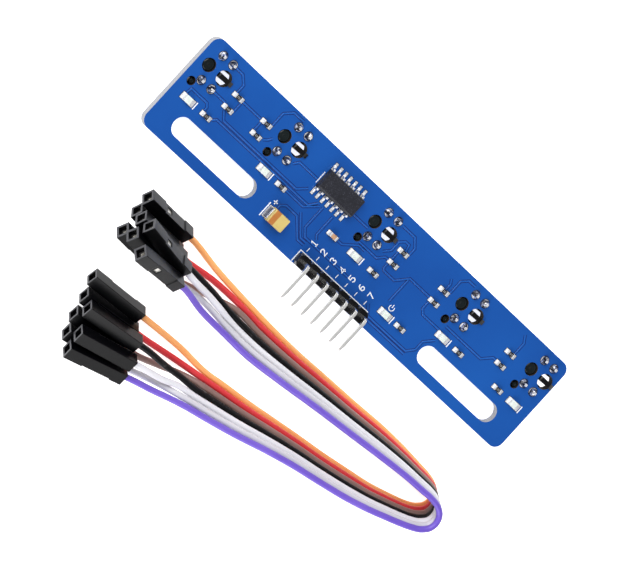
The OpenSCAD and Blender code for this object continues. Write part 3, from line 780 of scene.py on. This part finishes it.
def make_marks():
    """Printed marks: the header's outline, polarity bars, a plus sign, pin numbers and a power symbol."""
    bm = bmesh.new()

    def stroke(middle, points, width=0.2, size=1.0):
        places = [(middle[0] + x * size, middle[1] + y * size) for x, y in points]
        strip(bm, places, width, TOP + 0.004, TOP + 0.036, slope=0.015)

    stroke(HEADER, [(-9, -1.15), (-9, 1.35), (8.95, 1.35)], 0.18)
    for lamp in LAMPS:
        stroke(lamp, [(1.85, -0.75), (1.85, 0.75)], 0.22)
    stroke(CHIP, [(-4.55, -1.5), (-4.55, 0.9)], 0.18)
    stroke(TANTALUM_AT, [(-2.7, -1.5), (-2.7, 1.5)], 0.22)
    stroke(TANTALUM_AT, [(-2.45, 2.1), (-1.55, 2.1)])
    stroke(TANTALUM_AT, [(-2, 1.65), (-2, 2.55)])
    for k, (x, y) in enumerate(PINS):
        for line in DIGITS[k + 1]:
            stroke((x - 0.35, y + 3.75), [(-v, u) for u, v in line], size=1.05)
        stroke((x - 0.35, y), [(0, 1.85), (0, 2.65)], 0.16)
    power = (LAMPS[-1][0] + 0.2, LAMPS[-1][1] + 1.6)
    arc = [(math.sin(math.tau * t / 14), math.cos(math.tau * t / 14)) for t in range(2, 13)]
    stroke(power, arc, 0.17, size=0.55)
    stroke(power, [(0, 0.05), (0, 0.7)], 0.17)
    board_piece("printed_marks", bm, INK, smooth=False)


def make_value_bars():
    """Three short plain bars on top of each resistor, in the place of its value."""
    bm = bmesh.new()
    for x, y in RESISTORS:
        for dx in (-0.22, 0.0, 0.22):
            strip(bm, [(x + dx, y - 0.2), (x + dx, y + 0.2)], 0.07, TOP + 0.46, TOP + 0.484, slope=0.01)
    board_piece("value_bars", bm, FAINT_INK, smooth=False)


def make_post_crowns():
    """Moulded crowns of the sensors' posts and pegs, seen inside their holes, in a paler teal copy of the
    black moulding as painted highlight.
    """
    bm = bmesh.new()
    for x, y in SENSORS:
        for dx, dy, r, depth in CROWNS:
            profile = [(0.0, 0.0), (r, 0.0), (r - 0.03, 0.05), (r * 0.86, 0.12), (r * 0.55, 0.17),
                       (r * 0.3, 0.15), (r * 0.2, 0.1), (0.0, 0.09)]
            lathe(bm, (x + dx, y + dy + BOARD_Y, TOP - depth), profile, sides=40)
    board_piece("post_crowns", bm, POST_PAINTED_HIGHLIGHT)


circuit_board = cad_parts["circuit_board"].data
circuit_board.materials.clear()
circuit_board.materials.append(MASK)
make_tracks()
make_pads()
make_hole_shade_liners()
make_lead_solder()
make_header_solder()
make_part_solder()
make_marks()
make_value_bars()
make_post_crowns()


# ---------------------------------------------------------------- parts on the board

def make_lens(node, piece_name, lens):
    """A sensor's lens, with its two tinned leads above it."""
    lead_foot = 2.6         # the height above which the node's faces are its leads'
    piece = rounded(node, piece_name, lens, 0.04)
    paint_faces(piece, TIN, lambda place: place.z > lead_foot)


for i in range(1, 6):
    rounded(f"sensor_housing_{i}", f"sensor_body_{i}", BLACK, 0.12)
    make_lens(f"emitter_{i}", f"emitter_lens_{i}", EMITTER)
    make_lens(f"receiver_{i}", f"receiver_lens_{i}", RECEIVER)
rounded("comparator_body", "chip_body", EPOXY, 0.06)
rounded("comparator_leads", "chip_leads", CHIP_LEAD, 0.04)
rounded("bulk_capacitor", "tantalum_body", TANTALUM, 0.08)
rounded("bulk_capacitor_ends", "tantalum_straps", TIN, 0.04)
rounded("bypass_capacitor", "ceramic_body", CERAMIC, 0.05)
rounded("bypass_capacitor_ends", "ceramic_ends", PART_END, 0.06)
rounded("resistor_bodies", "resistor_glazes", RESISTOR, 0.04)
rounded("resistor_ends", "resistor_caps", PART_END, 0.05)
rounded("lamp_ends", "lamp_caps", PART_END, 0.04)
for i in range(1, 6):
    rounded(f"channel_lamp_{i}", f"lamp_{i}", LAMP, 0.08)
rounded("power_lamp", "lamp_power", LAMP, 0.08)
rounded("header_strip", "header_blocks", BLACK, 0.1)
rounded("header_pins", "header_plating", PIN_METAL, 0.07)


# ---------------------------------------------------------------- floor and light

def make_floor():
    """The white paper under the bar, a hair below the sensors' faces."""
    half, z = 1.5, -0.02 * MM
    mesh = bpy.data.meshes.new("floor")
    mesh.from_pydata([(-half, -half, z), (half, -half, z), (half, half, z), (-half, half, z)], [],
                     [(0, 1, 2, 3)])
    floor = bpy.data.objects.new("floor", mesh)
    bpy.context.scene.collection.objects.link(floor)
    n = Nodes("floor_paper")
    tone = n.mix(n.noise(30, 2), (0.93, 0.93, 0.93, 1), (0.95, 0.95, 0.95, 1))
    n.set(Base_Color=tone, Roughness=0.9, Specular_IOR_Level=0.0, Emission_Color=(1, 1, 1, 1),
          Emission_Strength=0.8)
    mesh.materials.append(n.mat)


def area_light(name, place, size, power):
    """A round soft light, turned to the bar's middle."""
    data = bpy.data.lights.new(name, "AREA")
    data.shape = "DISK"
    data.size = size
    data.energy = power
    light = bpy.data.objects.new(name, data)
    bpy.context.scene.collection.objects.link(light)
    light.location = place
    light.rotation_euler = (-Vector(place)).to_track_quat("-Z", "Y").to_euler()


def make_light():
    """A key and a fill light, in a white room with a dark ceiling for the metal to mirror."""
    world = bpy.data.worlds.new("studio")
    world.use_nodes = True
    tree = world.node_tree
    coords = tree.nodes.new("ShaderNodeTexCoord")
    split = tree.nodes.new("ShaderNodeSeparateXYZ")
    ramp = tree.nodes.new("ShaderNodeValToRGB")
    tree.links.new(coords.outputs["Generated"], split.inputs[0])
    tree.links.new(split.outputs["Z"], ramp.inputs["Fac"])
    tree.links.new(ramp.outputs["Color"], tree.nodes["Background"].inputs["Color"])
    wall, ceiling = ramp.color_ramp.elements
    wall.position, wall.color = 0.25, (1, 1, 1, 1)
    ceiling.position, ceiling.color = 0.75, (0.12, 0.12, 0.13, 1)
    tree.nodes["Background"].inputs["Strength"].default_value = 1.0
    bpy.context.scene.world = world
    area_light("key", (-0.45, 0.3, 0.6), size=0.8, power=7)
    area_light("fill", (0.1, -0.7, 0.5), size=0.7, power=5)
    bpy.context.scene.view_settings.view_transform = "Standard"


make_floor()
make_light()
